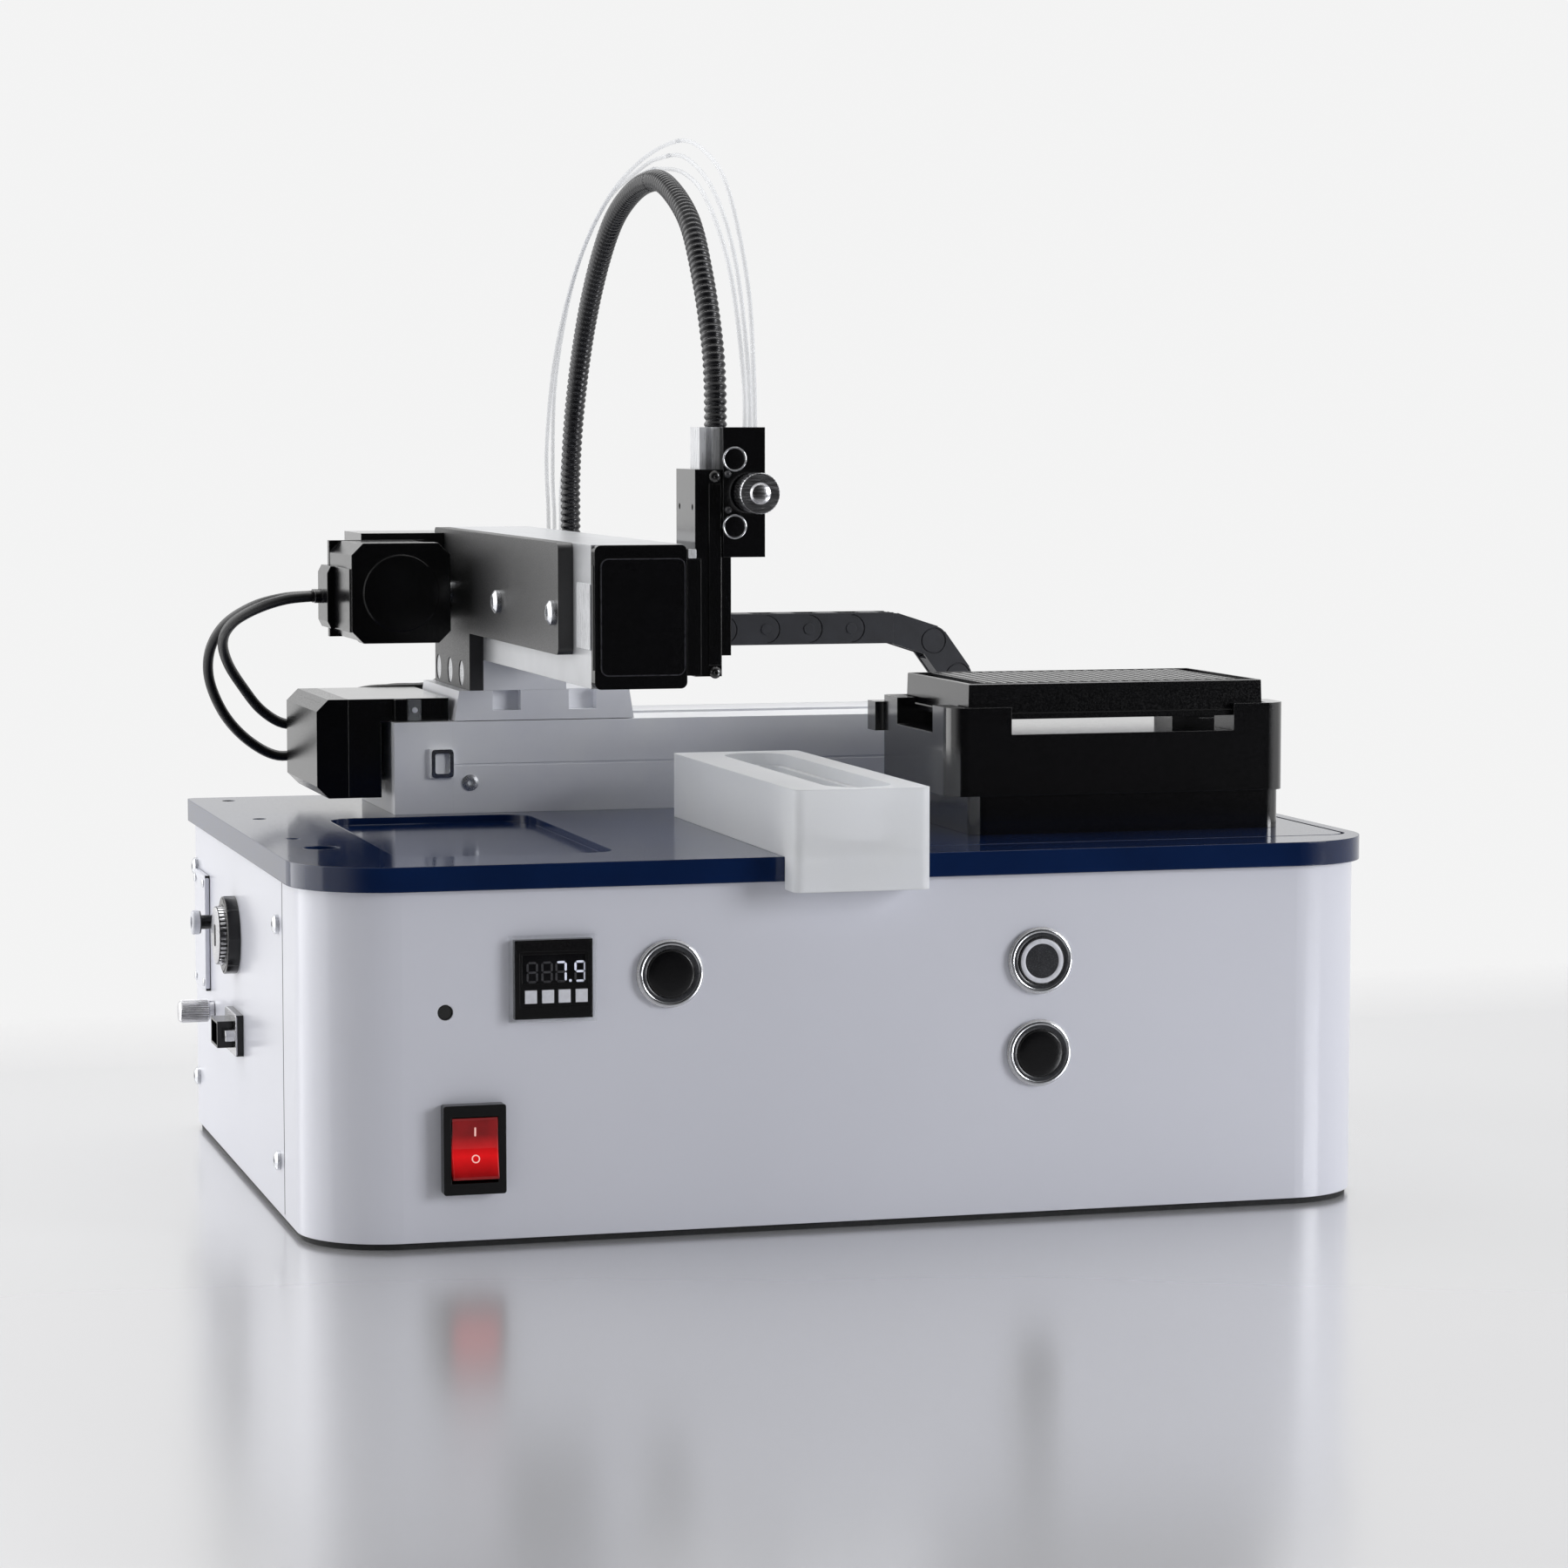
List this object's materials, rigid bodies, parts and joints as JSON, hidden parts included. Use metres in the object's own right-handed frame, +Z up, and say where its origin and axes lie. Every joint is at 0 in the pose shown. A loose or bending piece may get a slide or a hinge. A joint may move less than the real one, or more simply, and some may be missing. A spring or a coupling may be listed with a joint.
{
  "type": "liquid handling robot",
  "caption": "Benchtop liquid handling robot: a two-axis gantry arm carries a dispensing head between a reservoir and a microplate nest on a deck over its control housing.",
  "frame": {"origin": "centre of the housing's footprint, on the table", "axes": "+X to the right seen from the front, -Y to the front where the controls are, +Z up"},
  "size_m": [0.4485, 0.331, 0.4249],
  "materials": {
    "pad": "matte black rubber",
    "sheet_steel": "bare zinc-plated sheet",
    "housing": "satin white powder coat",
    "screws": "polished stainless",
    "deck": "glossy navy blue",
    "dark_anodised": "fine bead-blasted black anodised",
    "silver_anodised": "satin clear anodised",
    "black_plastic": "satin black moulded plastic",
    "motor_case": "semi-gloss black",
    "clear_plastic": "clear moulded frame",
    "steel": "turned and ground steel",
    "power_case": "plain folded aluminium",
    "board": "green solder mask",
    "valve_metal": "dark anodised valve body",
    "chain_plastic": "matte black nylon",
    "rocker_red": "translucent red, lit from inside",
    "key_plastic": "silver-white moulded keys",
    "cable_rubber": "smooth black cable jacket",
    "hose_plastic": "black corrugated conduit",
    "tube_plastic": "clear fluid tubing",
    "plate_plastic": "black moulded microplate",
    "frosted_plastic": "frosted translucent polypropylene"
  },
  "bodies": {
    "base": {"base_pad": "pad", "base_plate": "sheet_steel", "front_wrap": "housing", "left_panel": "housing", "right_panel": "housing", "rear_panel": "housing", "base_screws": "screws", "deck_plate": "deck", "nest_riser": "dark_anodised", "nest_body": "dark_anodised", "x_profile": "silver_anodised", "x_end_blocks": "silver_anodised", "x_drive_body": "dark_anodised", "x_drive_cap": "black_plastic", "x_motor": "motor_case", "pressure_display": "black_plastic", "display_bezel": "clear_plastic", "button_bezels": "steel", "rocker_bezel": "black_plastic", "side_ports": "black_plastic", "power_inlet": "black_plastic", "power_supply": "power_case", "control_board": "board", "air_manifold": "valve_metal", "chain_lower": "chain_plastic"},
    "switch_rocker": {"rocker": "rocker_red"},
    "start_button": {"button_cap_1": "black_plastic"},
    "stop_button": {"button_cap_2": "black_plastic"},
    "reset_button": {"button_cap_3": "black_plastic"},
    "key_1": {"display_key_1": "key_plastic"},
    "key_2": {"display_key_2": "key_plastic"},
    "key_3": {"display_key_3": "key_plastic"},
    "key_4": {"display_key_4": "key_plastic"},
    "regulator": {"regulator_knob": "steel"},
    "x_lead_screw": {"x_screw": "steel"},
    "chain_loop": {"chain_bend": "chain_plastic"},
    "x_carriage": {"carriage": "silver_anodised", "carriage_bracket": "silver_anodised", "arm_plate": "dark_anodised", "arm_screws": "screws", "y_profile": "silver_anodised", "y_end_cap": "black_plastic", "y_drive_block": "dark_anodised", "y_motor": "motor_case", "y_motor_core": "silver_anodised", "y_motor_cables": "cable_rubber", "chain_upper": "chain_plastic"},
    "y_lead_screw": {"y_screw": "steel"},
    "y_table": {"y_slider": "dark_anodised", "z_body": "dark_anodised", "hose": "hose_plastic", "fluid_tubes": "tube_plastic"},
    "head": {"z_ram": "steel", "head_plate": "dark_anodised", "head_fittings": "steel", "valve_block": "valve_metal", "nozzle_block": "silver_anodised"},
    "clamp": {"clamp_knob": "steel"},
    "plate": {"microplate": "plate_plastic"},
    "trough": {"reservoir": "frosted_plastic"}
  },
  "joints": [
    {"name": "x_axis", "type": "slide", "parent": "base", "child": "x_carriage", "axis": [1, 0, 0], "range_m": [0, 0.23], "deforming": ["chain_upper", "chain_lower"]},
    {"name": "y_axis", "type": "slide", "parent": "x_carriage", "child": "y_table", "axis": [0, 1, 0], "range_m": [0, 0.15], "deforming": ["hose", "fluid_tubes"]},
    {"name": "z_adjust", "type": "slide", "parent": "y_table", "child": "head", "axis": [0, 0, 1], "range_m": [-0.005, 0.02]},
    {"name": "clamp_turn", "type": "hinge", "parent": "head", "child": "clamp", "pos_m": [-0.042, -0.155, 0.2843], "axis": [0, -1, 0], "range_deg": [0, 360]},
    {"name": "x_screw_turn", "type": "hinge", "parent": "base", "child": "x_lead_screw", "pos_m": [0, 0.094, 0.17], "axis": [1, 0, 0], "range_deg": [0, 4140]},
    {"name": "y_screw_turn", "type": "hinge", "parent": "x_carriage", "child": "y_lead_screw", "pos_m": [-0.0875, 0, 0.23775], "axis": [0, 1, 0], "range_deg": [0, 2700]},
    {"name": "chain_travel", "type": "slide", "parent": "base", "child": "chain_loop", "axis": [1, 0, 0], "range_m": [0, 0.115]},
    {"name": "power_rocker", "type": "hinge", "parent": "base", "child": "switch_rocker", "pos_m": [-0.1536, -0.1565, 0.038], "axis": [1, 0, 0], "range_deg": [0, 14]},
    {"name": "start_press", "type": "slide", "parent": "base", "child": "start_button", "axis": [0, 1, 0], "range_m": [0, 0.0015], "stiffness_N_per_m": 60, "springref_m": -0.002},
    {"name": "stop_press", "type": "slide", "parent": "base", "child": "stop_button", "axis": [0, 1, 0], "range_m": [0, 0.0015], "stiffness_N_per_m": 60, "springref_m": -0.002},
    {"name": "reset_press", "type": "slide", "parent": "base", "child": "reset_button", "axis": [0, 1, 0], "range_m": [0, 0.0015], "stiffness_N_per_m": 60, "springref_m": -0.002},
    {"name": "key_1_press", "type": "slide", "parent": "base", "child": "key_1", "axis": [0, 1, 0], "range_m": [0, 0.0004], "stiffness_N_per_m": 20, "springref_m": -0.0005},
    {"name": "key_2_press", "type": "slide", "parent": "base", "child": "key_2", "axis": [0, 1, 0], "range_m": [0, 0.0004], "stiffness_N_per_m": 20, "springref_m": -0.0005},
    {"name": "key_3_press", "type": "slide", "parent": "base", "child": "key_3", "axis": [0, 1, 0], "range_m": [0, 0.0004], "stiffness_N_per_m": 20, "springref_m": -0.0005},
    {"name": "key_4_press", "type": "slide", "parent": "base", "child": "key_4", "axis": [0, 1, 0], "range_m": [0, 0.0004], "stiffness_N_per_m": 20, "springref_m": -0.0005},
    {"name": "regulator_turn", "type": "hinge", "parent": "base", "child": "regulator", "pos_m": [-0.22, 0.1, 0.0588], "axis": [-1, 0, 0], "range_deg": [0, 1080]},
    {"name": "microplate_lift", "type": "slide", "parent": "base", "child": "plate", "axis": [0, 0, -1], "range_m": [-0.06, 0]},
    {"name": "reservoir_slide", "type": "slide", "parent": "base", "child": "trough", "axis": [0, -1, 0], "range_m": [0, 0.19]}
  ],
  "couplings": [
    {"joint": "x_screw_turn", "follows": "x_axis", "rad_per_m": 314.16},
    {"joint": "y_screw_turn", "follows": "y_axis", "rad_per_m": 314.16},
    {"joint": "chain_travel", "follows": "x_axis", "ratio": 0.5}
  ]
}
